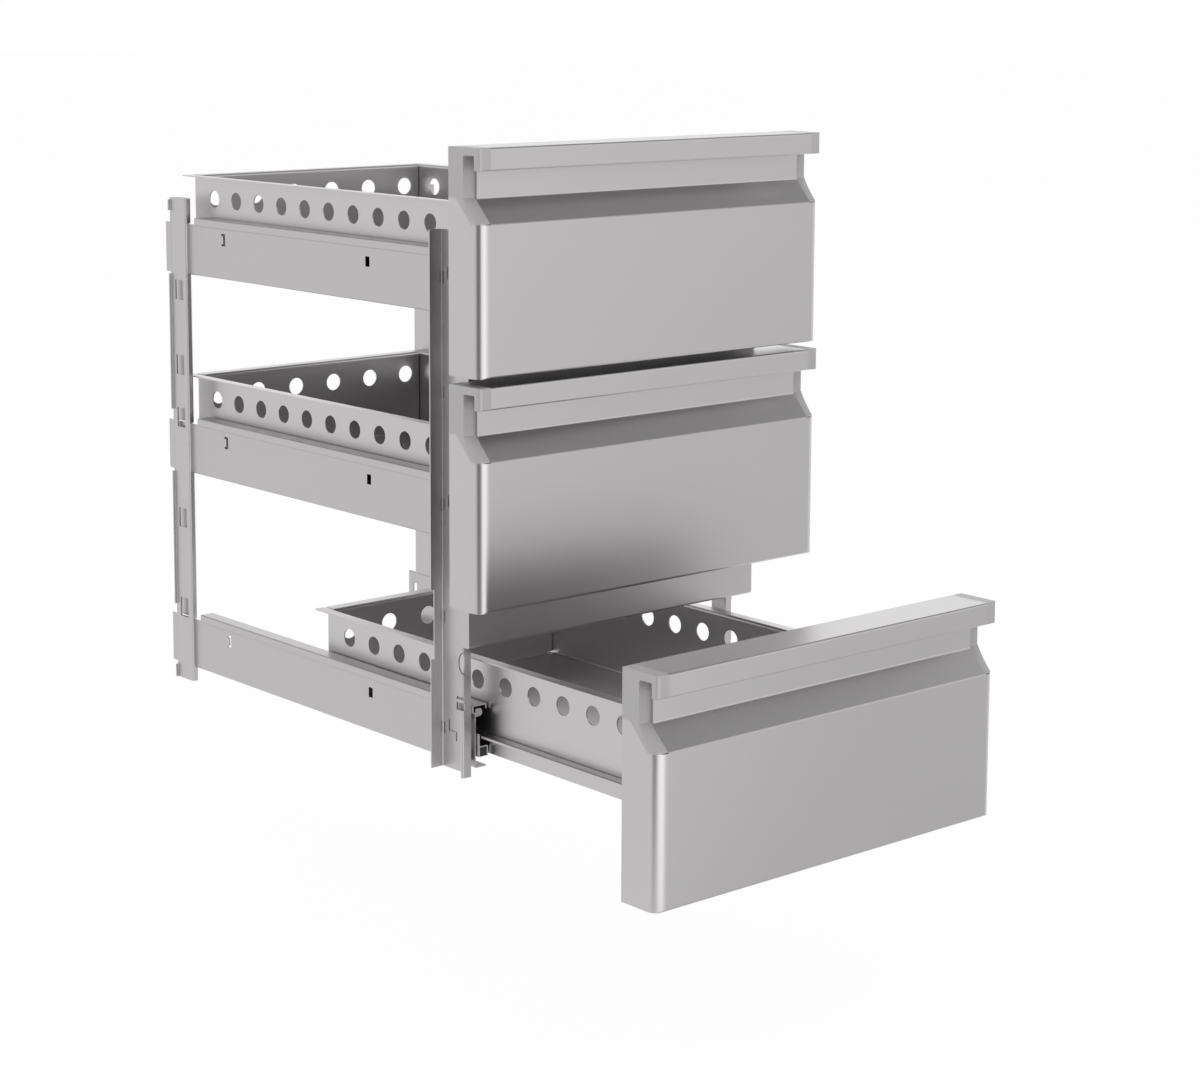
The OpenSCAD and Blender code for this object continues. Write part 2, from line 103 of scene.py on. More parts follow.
CUT, WELD = Join.CUT, Join.WELD


@dataclass(frozen=True)
class Surface:
    """Points and faces of a piece before it becomes a mesh."""

    points: np.ndarray
    faces: list[list[int]]

    def mirrored(self, sign: float) -> "Surface":
        """The same surface, or its mirror image in the plane X = 0 when the sign is negative."""
        return Surface(self.points * np.array([sign, 1.0, 1.0]), self.faces)

    def moved(self, shift: Sequence[float]) -> "Surface":
        """The same surface, shifted."""
        return Surface(self.points + np.asarray(shift, float), self.faces)


def gather(surfaces: Iterable[Surface]) -> Surface:
    """Put several surfaces into one.

    Args:
        surfaces: the surfaces, in any order.

    Returns:
        One surface that holds them all.
    """
    points, faces, start = [], [], 0
    for surface in surfaces:
        points.append(surface.points)
        faces.extend([[i + start for i in face] for face in surface.faces])
        start += len(surface.points)
    return Surface(np.concatenate(points), faces)


def left_of(vectors: np.ndarray) -> np.ndarray:
    """The vectors turned a quarter turn to the left."""
    return np.stack([-vectors[..., 1], vectors[..., 0]], axis=-1)


def unit(vectors: np.ndarray) -> np.ndarray:
    """The vectors at length one."""
    return vectors / np.maximum(np.linalg.norm(vectors, axis=-1, keepdims=True), TINY)


def arcs(corners: np.ndarray, before: np.ndarray, after: np.ndarray, radii: np.ndarray,
         steps: int) -> tuple[np.ndarray, np.ndarray]:
    """Round corners of a line with arcs.

    With u the unit direction before a corner and a the turn there, the arc starts r tan(a / 2) before the
    corner. Its points are centre + r (u sin b - w cos b) for b from 0 to a, where w points from the start to
    the centre. A holding point a short way before the arc and one after it keep the flat parts beside it
    flat in the shading.

    Args:
        corners: corner points, one row each.
        before: unit direction of the line before each corner.
        after: unit direction of the line after each corner.
        radii: radius of each corner.
        steps: points on each arc.

    Returns:
        The points on the arcs and the unit directions there, in order.
    """
    cross = before[:, 0] * after[:, 1] - before[:, 1] * after[:, 0]
    angle = np.arctan2(np.abs(cross), np.sum(before * after, axis=1))
    inward = left_of(before) * np.sign(cross)[:, None]
    start = corners - before * (radii * np.tan(angle / 2))[:, None]
    centre = start + inward * radii[:, None]
    b = (angle[:, None] * np.linspace(0.0, 1.0, steps)[None, :])[..., None]
    spoke = before[:, None, :] * np.sin(b) - inward[:, None, :] * np.cos(b)
    points = centre[:, None, :] + spoke * radii[:, None, None]
    directions = before[:, None, :] * np.cos(b) + inward[:, None, :] * np.sin(b)
    hold = HOLD * np.sign(radii)[:, None]
    ends = [(points[:, 0] - before * hold)[:, None], (points[:, -1] + after * hold)[:, None]]
    points = np.concatenate([ends[0], points, ends[1]], axis=1)
    directions = np.concatenate([before[:, None], directions, after[:, None]], axis=1)
    return points.reshape(-1, 2), directions.reshape(-1, 2)


def distinct(outline: np.ndarray) -> np.ndarray:
    """The closed outline without points that repeat their neighbour."""
    gap = np.linalg.norm(outline - np.roll(outline, 1, axis=0), axis=1)
    return outline[gap > SAME]


def rounded(points: Sequence[Sequence[float]], radii: Sequence[float], steps: int = 7) -> np.ndarray:
    """Closed outline with an arc of its own radius at each corner.

    Args:
        points: corners in order.
        radii: radius of each corner, nought for a sharp one.
        steps: points on each arc.

    Returns:
        The outline's points.
    """
    corners = np.asarray(points, float)
    after = unit(np.roll(corners, -1, axis=0) - corners)
    outline, _ = arcs(corners, np.roll(after, 1, axis=0), after, np.asarray(radii, float), steps)
    return distinct(outline)


def folded(points: Sequence[Sequence[float]], thickness: float, bend: float, turn: Turn = Turn.LEFT) -> np.ndarray:
    """Closed outline of a folded sheet, given the line of one of its faces.

    The middle line is the face line moved half a thickness to the sheet's side, with mitred corners; it is
    rounded with the inner bend radius plus half a thickness, and both faces stand half a thickness from it.

    Args:
        points: corners of the face line, unrounded.
        thickness: sheet thickness.
        bend: radius inside each bend.
        turn: side of the line on which the sheet lies.

    Returns:
        The outline's points: one face out, the other face back.
    """
    line = np.asarray(points, float)
    along = unit(np.diff(line, axis=0))
    normal = left_of(along) * turn.value
    mitre = (normal[:-1] + normal[1:]) / (1.0 + np.sum(normal[:-1] * normal[1:], axis=1, keepdims=True))
    middle = line + np.concatenate([normal[:1], mitre, normal[-1:]]) * thickness / 2
    radii = np.full(len(line) - 2, bend + thickness / 2)
    inner, directions = arcs(middle[1:-1], along[:-1], along[1:], radii, steps=6)
    path = np.concatenate([middle[:1], inner, middle[-1:]])
    across = left_of(np.concatenate([along[:1], directions, along[-1:]])) * thickness / 2
    return distinct(np.concatenate([path + across, (path - across)[::-1]]))


def walls(index: np.ndarray) -> list[list[int]]:
    """Quads between neighbouring rows of a grid of point numbers, each row a closed loop."""
    ahead = np.roll(index, -1, axis=1)
    return np.stack([index[:-1], ahead[:-1], ahead[1:], index[1:]], axis=-1).reshape(-1, 4).tolist()


def prism(outline: np.ndarray, axis: Axis, stations: Sequence[float]) -> Surface:
    """Carry a closed outline along an axis.

    A point is outline(i) at station(k): the grid's two parameters are the place on the outline and the
    place along the axis. The first and the last station are closed.

    Args:
        outline: points in the outline's plane.
        axis: direction in which it is carried.
        stations: places along the axis, in rising order.

    Returns:
        The closed surface.
    """
    count, rows = len(outline), len(stations)
    grid = np.empty((rows, count, 3))
    grid[..., :2] = outline[None]
    grid[..., 2] = np.asarray(stations, float)[:, None]
    index = np.arange(rows * count).reshape(rows, count)
    ends = [index[0][::-1].tolist(), index[-1].tolist()]
    return Surface(grid[..., list(axis.value)].reshape(-1, 3), walls(index) + ends)


def brick(low: Sequence[float], high: Sequence[float]) -> Surface:
    """A block between two corners: its rectangle carried along Z."""
    (x0, y0, z0), (x1, y1, z1) = low, high
    return prism(np.array([[x0, y0], [x1, y0], [x1, y1], [x0, y1]], float), Axis.Z, [z0, z1])


def slot(low: float, high: float, cut: Cut, levels: Sequence[float] = (0.0,)) -> Surface:
    """Blocks from low to high along X that leave the cut free at each level."""
    front, rear, bottom, top = cut
    return gather([brick((low, front, z + bottom), (high, rear, z + top)) for z in levels])


def drum(centre: Sequence[float], axis: Axis, radius: float, length: float, sides: int = 40) -> Surface:
    """A round bar: a circle carried half its length each way from the centre."""
    turn = np.linspace(0.0, 2.0 * np.pi, sides, endpoint=False)
    return prism(np.stack([np.cos(turn), np.sin(turn)], 1) * radius, axis, [-length / 2, length / 2]).moved(centre)


def turned(profile: Sequence[Sequence[float]]) -> Surface:
    """A solid of revolution about Y.

    A point is (r cos a, y, r sin a) for each pair (r, y) of the profile and each angle a. The profile
    starts and ends on the axis.

    Args:
        profile: pairs of radius and place along Y.

    Returns:
        The closed surface.
    """
    pairs, sides = np.asarray(profile, float), 28
    a = np.linspace(0.0, 2.0 * np.pi, sides, endpoint=False)
    radius, place = pairs[:, 0][:, None], pairs[:, 1][:, None]
    points = np.stack([radius * np.cos(a), place + 0.0 * a, radius * np.sin(a)], axis=-1)
    return Surface(points.reshape(-1, 3), walls(np.arange(len(pairs) * sides).reshape(-1, sides)))


def ring(section: np.ndarray, half_width: float, half_height: float) -> Surface:
    """Carry a section round a rectangle with mitred corners.

    The section's first number is the distance inwards from the rectangle's edge, its second the depth. A
    point at corner c is (sx (w - a), depth, sz (h - a)), with sx and sz the signs of that corner.

    Args:
        section: closed outline, distance inwards and depth.
        half_width: half the rectangle's width.
        half_height: half the rectangle's height.

    Returns:
        The closed surface.
    """
    signs = np.array([[-1, -1], [1, -1], [1, 1], [-1, 1]], float)
    x = signs[:, 0][:, None] * (half_width - section[:, 0][None])
    z = signs[:, 1][:, None] * (half_height - section[:, 0][None])
    y = np.broadcast_to(section[:, 1][None], x.shape)
    index = np.arange(4 * len(section)).reshape(4, -1)
    return Surface(np.stack([x, y, z], axis=-1).reshape(-1, 3), walls(np.concatenate([index, index[:1]])))


def mesh_of(surface: Surface) -> bpy.types.Mesh:
    """Make a mesh from a surface in millimetres: merge its doubles and turn its faces outwards.

    Args:
        surface: the surface.

    Returns:
        The mesh, in metres.
    """
    mesh = bpy.data.meshes.new("mesh")
    mesh.from_pydata((surface.points * MM).tolist(), [], surface.faces)
    work = bmesh.new()
    work.from_mesh(mesh)
    bmesh.ops.remove_doubles(work, verts=work.verts, dist=MERGE)
    bmesh.ops.dissolve_degenerate(work, edges=work.edges, dist=MERGE)
    bmesh.ops.recalc_face_normals(work, faces=work.faces)
    work.to_mesh(mesh)
    work.free()
    return mesh


def hang(name: str, data: Any) -> Piece:
    """A new object in the scene.

    Args:
        name: its name.
        data: its mesh, lamp or camera.

    Returns:
        The object.
    """
    made = bpy.data.objects.new(name, data)
    bpy.context.scene.collection.objects.link(made)
    return made


def pose(right: Any, up: Any, back: Any, place: Any) -> Matrix:
    """The matrix of an object with these directions and this place as its columns."""
    return Matrix([[*right, 0.0], [*up, 0.0], [*back, 0.0], [*place, 1.0]]).transposed()


def shifted(piece: Piece, shift: Sequence[float]) -> Piece:
    """The piece with its points moved by millimetres, so that its object stays at the origin."""
    piece.data.transform(Matrix.Translation([value * MM for value in shift]))
    return piece


def handed(piece: Piece, side: float) -> Piece:
    """A right-hand piece turned into a left-hand one where asked, with its faces still outwards.

    Args:
        piece: the object.
        side: -1.0 for the left, 1.0 for the right.

    Returns:
        The object.
    """
    if side < 0.0:
        piece.data.transform(Matrix.Scale(-1.0, 4, (1.0, 0.0, 0.0)))
        piece.data.flip_normals()
    return piece


def combine(base: Piece, tool: Surface, join: Join) -> None:
    """Cut a solid from a piece, or weld one on.

    Args:
        base: the piece's object, whose mesh is replaced.
        tool: the other solid, in millimetres.
        join: cut or weld.
    """
    other = hang("tool", mesh_of(tool))
    step = base.modifiers.new("join", "BOOLEAN")
    step.operation, step.solver, step.object = join.value, "EXACT", other
    graph = bpy.context.evaluated_depsgraph_get()
    result = bpy.data.meshes.new_from_object(base.evaluated_get(graph))
    base.modifiers.clear()
    old, base.data = base.data, result
    bpy.data.meshes.remove(old)
    bpy.data.objects.remove(other)


def solid(surface: Surface, steps: Iterable[tuple[Join, Surface]] = ()) -> Piece:
    """A new object that holds a surface.

    Args:
        surface: its first shape.
        steps: solids that are cut from it or welded on, one after the other, so that they may overlap.

    Returns:
        The object.
    """
    made = hang("piece", mesh_of(surface))
    for join, tool in steps:
        combine(made, tool, join)
    return made


@dataclass(frozen=True)
class Station:
    """A drawer's place: its level's name, the top of its front and how far it stands open."""

    level: str
    top: float
    opened: float

    def place(self, out: bool) -> Triple:
        """Shift from the level's own places to the shared frame, for what moves out or stays."""
        return (0.0, FRONTS_BACK - (self.opened if out else 0.0), self.top)


STATIONS = (Station("top", 444.0, 0.0), Station("middle", 220.0, 0.0), Station("bottom", -4.0, 248.0))
FRAME_PLACE = STATIONS[0].place(False)


class Node:
    """A shader value: Python maths on it adds the nodes that work it out."""

    def __init__(self, shop: "Shop", made: Any, output: Any = 0) -> None:
        """Keep the shop that adds nodes, the node, and which of its outputs carries the value."""
        self.shop, self.made, self.output = shop, made, output

    def _with(self, operation: str, first: Any, second: Any) -> "Node":
        """Add one Math node."""
        return self.shop.add("ShaderNodeMath", {0: first, 1: second}, operation=operation)

    def __add__(self, other: Any) -> "Node":
        """Sum."""
        return self._with("ADD", self, other)

    __radd__ = __add__

    def __sub__(self, other: Any) -> "Node":
        """Difference."""
        return self._with("SUBTRACT", self, other)

    def __rsub__(self, other: Any) -> "Node":
        """Difference from a number."""
        return self._with("SUBTRACT", other, self)

    def __mul__(self, other: Any) -> "Node":
        """Product."""
        return self._with("MULTIPLY", self, other)

    __rmul__ = __mul__

    def most(self, other: Any) -> "Node":
        """The greater of two values."""
        return self._with("MAXIMUM", self, other)

    def ramp(self, low: float, high: float) -> "Node":
        """Nought up to a low value, one from a high value on, and smooth between them."""
        return self.shop.add("ShaderNodeMapRange", {"Value": self, "From Min": low, "From Max": high},
                             interpolation_type="SMOOTHSTEP")


class Shop:
    """Adds nodes to one material or to the world."""

    def __init__(self, owner: Any) -> None:
        """Start from an empty tree."""
        owner.use_nodes = True
        self.tree = owner.node_tree
        self.tree.nodes.clear()

    def add(self, kind: str, sockets: dict[Any, Any] | None = None, output: Any = 0, **settings: Any) -> Node:
        """Add a node.

        Args:
            kind: the node's type.
            sockets: values or links of its inputs, by name or number.
            output: the output that is used, by name or number.
            settings: the node's own settings, set before its inputs.

        Returns:
            The value of that output.
        """
        made = self.tree.nodes.new(kind)
        for key, value in settings.items():
            setattr(made, key, value)
        for key, value in (sockets or {}).items():
            if isinstance(value, Node):
                self.tree.links.new(value.made.outputs[value.output], made.inputs[key])
            else:
                made.inputs[key].default_value = value
        return Node(self, made, output)

    def place(self) -> Node:
        """The point in the object's own coordinates."""
        return self.add("ShaderNodeTexCoord", output="Object")

    def noise(self, scale: Triple, detail: float, rough: float) -> Node:
        """Noise with its own number of grains per metre along each axis."""
        stretch = self.add("ShaderNodeMapping", {"Vector": self.place(), "Scale": scale}, vector_type="POINT")
        return self.add("ShaderNodeTexNoise", {"Vector": stretch, "Scale": 1.0, "Detail": detail, "Roughness": rough})

    def blend(self, factor: Any, first: Sequence[float], second: Sequence[float]) -> Node:
        """Mix two colours by a factor held between nought and one."""
        return self.add("ShaderNodeMix", {0: factor, 6: (*first, 1.0), 7: (*second, 1.0)}, 2, data_type="RGBA",
                        clamp_factor=True)

    def bump(self, height: Node, strength: float, distance: float) -> Node:
        """Turn a height into a normal."""
        return self.add("ShaderNodeBump", {"Strength": strength, "Distance": distance, "Height": height})


class Grain(Enum):
    """Way in which a sheet is brushed or rolled: grains per metre along X, Y and Z."""

    ACROSS = (14.0, 1500.0, 1500.0)
    LENGTHWISE = (1500.0, 14.0, 1500.0)
    UPRIGHT = (1500.0, 1500.0, 14.0)


@dataclass(frozen=True)
class Finish:
    """What every finish has: the material's name, a slot name that this script doesn't use, the colour and the
    roughness.
    """

    name: str
    slot: str
    colour: Triple
    roughness: float

    def sockets(self, shop: Shop) -> dict[str, Any]:
        """What goes into the shader's sockets."""
        raise NotImplementedError

    def shade(self, shop: Shop, factor: Any, least: float, most: float) -> Node:
        """The colour, between its least and its most share."""
        dark, light = (tuple(min(c * share, 1.0) for c in self.colour) for share in (least, most))
        return shop.blend(factor, dark, light)

    @cache
    def build(self) -> bpy.types.Material:
        """Make the material, once.

        Returns:
            The material.
        """
        material = bpy.data.materials.new(self.name)
        shop = Shop(material)
        shop.add("ShaderNodeOutputMaterial", {"Surface": shop.add("ShaderNodeBsdfPrincipled", self.sockets(shop))})
        return material


@dataclass(frozen=True)
class SteelFinish(Finish):
    """Bare steel sheet with a grain, faint clouds and small differences in polish.

    Fields: way of the grain, share by which it changes the colour, change of roughness over it, its depth,
    and how metallic the surface is.
    """

    grain: Grain
    streak: float = 0.04
    polish: float = 0.16
    depth: float = 0.05
    metal: float = 1.0

    def sockets(self, shop: Shop) -> dict[str, Any]:
        """Grain and clouds in the colour and the polish, and the grain in the normal.

        Args:
            shop: the shop that adds the nodes.

        Returns:
            What goes into the shader's sockets.
        """
        grain = shop.noise(self.grain.value, 4.0, 0.62)
        clouds = shop.noise((7.0,) * 3, 3.0, 0.5)
        colour = self.shade(shop, grain * 0.8 + clouds * 0.5 - 0.15, 1.0 - self.streak, 1.0 + self.streak)
        rough = (grain - 0.5) * self.polish + (clouds - 0.5) * (self.polish * 0.5) + self.roughness
        return {"Base Color": colour, "Roughness": rough, "Metallic": self.metal,
                "Normal": shop.bump(grain, self.depth, 0.0002)}


@dataclass(frozen=True)
class MouldedFinish(Finish):
    """Moulded plastic, rubber or foam: its colour varies faintly and its skin is finely grained.

    Fields: grains per metre and their depth.
    """

    grains: float
    depth: float = 0.15

    def sockets(self, shop: Shop) -> dict[str, Any]:
        """Grain and clouds in the colour, and the grain in the polish and the normal.

        Args:
            shop: the shop that adds the nodes.

        Returns:
            What goes into the shader's sockets.
        """
        grain = shop.noise((self.grains,) * 3, 3.0, 0.6)
        clouds = shop.noise((22.0,) * 3, 2.0, 0.5)
        return {"Base Color": self.shade(shop, grain * 0.5 + clouds * 0.5, 0.86, 1.1),
                "Roughness": (grain - 0.5) * 0.14 + self.roughness,
                "Normal": shop.bump(grain, self.depth, 0.0003)}


SKIN_STEEL = SteelFinish("brushed_skin", "brushed_skin", (0.571, 0.558, 0.564), 0.31, Grain.ACROSS, streak=0.03,
                         polish=0.04, depth=0.02)
CAP_STEEL = SteelFinish("end_cap_satin", "end_cap", (0.526, 0.514, 0.52), 0.42, Grain.UPRIGHT, streak=0.03, polish=0.04,
                        metal=0.25)
TRAY_STEEL = SteelFinish("tray_sheet", "tray_steel", (0.600, 0.586, 0.593), 0.34, Grain.LENGTHWISE)
FRAME_STEEL = SteelFinish("frame_sheet", "frame_steel", (0.557, 0.543, 0.55), 0.38, Grain.LENGTHWISE)
POST_STEEL = SteelFinish("post_sheet", "frame_steel", (0.573, 0.559, 0.566), 0.38, Grain.UPRIGHT)
SLIDE_STEEL = SteelFinish("slide_sheet", "slide_steel", (0.587, 0.573, 0.58), 0.34, Grain.LENGTHWISE, streak=0.05)
BACK_STEEL = SteelFinish("inner_back_sheet", "inner_sheet", (0.557, 0.543, 0.55), 0.40, Grain.ACROSS)
SCREW_STEEL = SteelFinish("screw_steel", "screw_steel", (0.52, 0.52, 0.52), 0.3, Grain.ACROSS)
SEAL_RUBBER = MouldedFinish("seal_rubber", "seal_rubber", (0.045, 0.045, 0.048), 0.6, 900.0)
GLIDE_PLASTIC = MouldedFinish("glide_plastic", "glide_plastic", (0.02, 0.02, 0.022), 0.42, 1400.0)
FOAM = MouldedFinish("foam", "foam", (0.62, 0.50, 0.30), 0.85, 500.0, depth=0.5)


def flatten(mesh: bpy.types.Mesh) -> None:
    """Shade the wide faces flat: those with 2 area / perimeter above the width of a strip."""
    for face in mesh.polygons:
        rim = [mesh.vertices[i].co for i in face.vertices]
        around = sum((a - b).length for a, b in zip(rim, rim[1:] + rim[:1]))
        if 2.0 * face.area > WIDE * MM * around:
            face.use_smooth = False


def dress(piece: Piece, finish: Finish) -> None:
    """Give a solid its only material.

    Args:
        piece: the object.
        finish: its finish.
    """
    piece.data.materials.clear()
    piece.data.materials.append(finish.build())
    LOG.info("dressed %s in %s", piece.name, finish.name)


def fit(name: str, piece: Piece, shift: Sequence[float], body: str, node: str, finish: Finish, edge: float) -> None:
    """Name a piece, bring it to its place, round its edges, dress it and let it stand for its node.

    Args:
        name: the piece's name.
        piece: the object.
        shift: the way to its place, in millimetres.
        body: the body on which it rides.
        node: the solid that it replaces.
        finish: its finish.
        edge: radius of its edges, in millimetres.
    """
    piece.name = piece.data.name = name
    shifted(piece, shift)
    dress(piece, finish)
    piece.data.shade_smooth()
    piece.data.set_sharp_from_angle(angle=SHARP)
    if edge > 0.0:
        bevel = piece.modifiers.new("edges", "BEVEL")
        bevel.width, bevel.segments, bevel.limit_method = edge * MM, 2, "ANGLE"
        bevel.angle_limit, bevel.use_clamp_overlap, bevel.miter_outer = SHARP, True, "MITER_ARC"
    else:
        flatten(piece.data)
    normals = piece.modifiers.new("normals", "WEIGHTED_NORMAL")
    normals.weight, normals.keep_sharp = 80, True
    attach(piece, body)
    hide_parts(node)
    LOG.info("piece %s: %d faces, on %s", piece.name, len(piece.data.polygons), body)


@dataclass
class FrontPanel:
    """Insulated front: outer skin with slope, hollow, top band and lip, two end caps and the door seal."""

    width: float = 450.0
    height: float = 216.0
    thickness: float = 46.0
    sheet: float = 1.2
    band: float = 7.5
    lip: float = 7.5
    lip_height: float = 21.5
    hollow: float = 25.0
    slope_top: float = 48.5
    slope_end: float = 71.5
    cap: float = 14.0
    cap_hollow: float = 22.0
    cap_drop: float = 47.5
    cap_level: float = 10.5
    corner: float = 12.5
    lip_corner: float = 4.5
    seal_inset: float = 16.0
    seal_depth: float = 13.2

    def _full(self, inset: float, rear: float) -> np.ndarray:
        """Side view between the end caps, drawn in by inset, with its rear at rear.

        Args:
            inset: how far it is drawn in.
            rear: place of its rear.

        Returns:
            The outline.
        """
        face, foot, soft = inset - self.thickness, inset - self.height, max(0.0, 1.0 - inset)
        slope = (self.slope_end - self.slope_top) / (self.thickness - self.hollow)
        edge, shift = self.lip - inset - self.thickness, inset * (np.hypot(1.0, slope) - slope)
        points = [(rear, -inset), (face, -inset), (face, inset - self.lip_height), (edge, inset - self.lip_height),
                  (edge, inset - self.band), (inset - self.hollow, inset - self.band),
                  (inset - self.hollow, -self.slope_top - shift), (face, -self.slope_end - shift), (face, foot),
                  (rear, foot)]
        return rounded(points, [0.0, 2.2 * soft, 1.6 * soft, 1.2 * soft, 1.5 * soft, 2.0 * soft, 3.0, 3.5, 2.8 * soft,
                                0.0])

    def _body(self, inset: float, rear: float) -> np.ndarray:
        """Side view below the end caps, drawn in by inset, with its rear at rear.

        Args:
            inset: how far it is drawn in.
            rear: place of its rear.

        Returns:
            The outline.
        """
        face, foot, soft = inset - self.thickness, inset - self.height, max(0.0, 1.0 - inset)
        run, rise = self.thickness - self.cap_hollow, self.slope_end - self.cap_drop
        shift = inset * (np.hypot(run, rise) - run) / rise
        points = [(rear, -self.cap_drop - inset), (shift - self.cap_level, -self.cap_drop - inset),
                  (shift - (self.cap_level + run), -self.slope_end - inset), (face, -self.slope_end - inset),
                  (face, foot), (rear, foot)]
        return rounded(points, [0.0, 0.4 * soft, 0.4 * soft, 0.6 * soft, 2.8 * soft, 0.0])

    def _cornered(self, surface: Surface, radius: Any, inset: float) -> Surface:
        """Round a surface's upright corners.

        Each point keeps its height, and its depth is the greater of its own and the plan's, which is
        r - t - sqrt(r^2 - d^2) at a distance d past the start of the corner, with t the depth of the front.

        Args:
            surface: the surface, carried across the front.
            radius: radius of the corners, for all points or for each.
            inset: how far the surface is drawn in.

        Returns:
            The rounded surface.
        """
        points = surface.points.copy()
        past = np.clip(np.abs(points[:, 0]) - (self.width / 2 - inset - radius), 0.0, radius)
        plan = radius - (self.thickness - inset) - np.sqrt(np.maximum(radius ** 2 - past ** 2, 0.0))
        points[:, 1] = np.maximum(points[:, 1], plan)
        return Surface(points, surface.faces)

    def _swept(self, outline: np.ndarray, inset: float) -> Surface:
        """Carry a side view across the front, drawn in by inset, and round its upright corners.

        Args:
            outline: the side view.
            inset: how far it is drawn in.

        Returns:
            The closed surface.
        """
        radius = self.corner - inset
        out = self.width / 2 - inset - radius + radius * QUARTER
        return self._cornered(prism(outline, Axis.X, np.concatenate([-out[::-1], out])), radius, inset)

    def skin(self) -> Piece:
        """The folded outer skin, hollow inside and open at its rear.

        Returns:
            The object.
        """
        middle, sheet, rear = self.width / 2 - self.cap, self.sheet, 2.0
        return solid(self._swept(self._body(0.0, 0.0), 0.0), [
            (WELD, prism(self._full(0.0, 0.0), Axis.X, [-middle, middle])),
            (CUT, self._swept(self._body(sheet, rear), sheet)),
            (CUT, prism(self._full(sheet, rear), Axis.X, [sheet - middle, middle - sheet]))])

    def end_cap(self, side: float) -> Piece:
        """The moulded end: top band, lip end, rear strip and slanting arm, with its outer edges rounded.

        Args:
            side: -1.0 for the left, 1.0 for the right.

        Returns:
            The object.
        """
        t, low, half, foot = self.thickness, -self.cap_drop, self.width / 2, self.cap_hollow - self.cap_level
        points = [(0.0, 0.0), (-t, 0.0), (-t, -self.lip_height), (self.lip - t, -self.lip_height),
                  (self.lip - t, -self.band), (-self.cap_hollow, -self.band), (-self.cap_hollow, low),
                  (-t, -self.slope_end), (foot - t, -self.slope_end), (-self.cap_level, low), (0.0, low)]
        outline = rounded(points, [0.5, 2.2, 1.6, 1.2, 1.5, 2.0, 2.5, 0.8, 0.3, 1.0, 0.3])
        stations = [np.array([half - self.cap])] + [half - r + r * QUARTER for r in (self.lip_corner, self.corner)]
        surface = prism(outline, Axis.X, np.unique(np.concatenate(stations).round(4)))
        radius = np.where(surface.points[:, 2] < low, self.corner, self.lip_corner)
        return solid(self._cornered(surface, radius, 0.0).mirrored(side))

    def seal(self) -> Piece:
        """The door seal: a flat foot, a bellows with two waists and a cushion that holds the magnet.

        Returns:
            The object.
        """
        d = self.seal_depth
        outline = rounded([(0.0, 0.0), (14.0, 0.0), (14.0, 2.5), (11.0, 4.0), (11.0, 6.0), (13.5, 7.5), (14.0, d),
                           (0.0, d), (0.5, 7.5), (3.0, 6.0), (3.0, 4.0), (0.0, 2.5)],
                          [0.6, 0.6, 1.0, 1.0, 1.0, 1.0, 1.8, 1.8, 1.0, 1.0, 1.0, 1.0], 4)
        surface = ring(outline, self.width / 2 - self.seal_inset, self.height / 2 - self.seal_inset)
        return solid(surface.moved((0.0, 0.0, -self.height / 2)))

    def build(self, station: Station, nodes: dict[str, Piece]) -> None:
        """Make and dress one front.

        Args:
            station: the drawer's place.
            nodes: the part's solids by name.
        """
        level, body, shift = station.level, f"drawer_{station.level}", station.place(True)
        fit(f"skin_{level}", self.skin(), shift, body, f"front_skin_{level}", SKIN_STEEL, 0.35)
        for word, side in SIDES.items():
            fit(f"cap_{word}_{level}", self.end_cap(side), shift, body, f"end_cap_{word}_{level}", CAP_STEEL, 0.3)
        fit(f"door_seal_{level}", self.seal(), shift, body, f"seal_{level}", SEAL_RUBBER, 0.0)
        dress(nodes[f"front_core_{level}"], FOAM)
        dress(nodes[f"front_back_{level}"], BACK_STEEL)


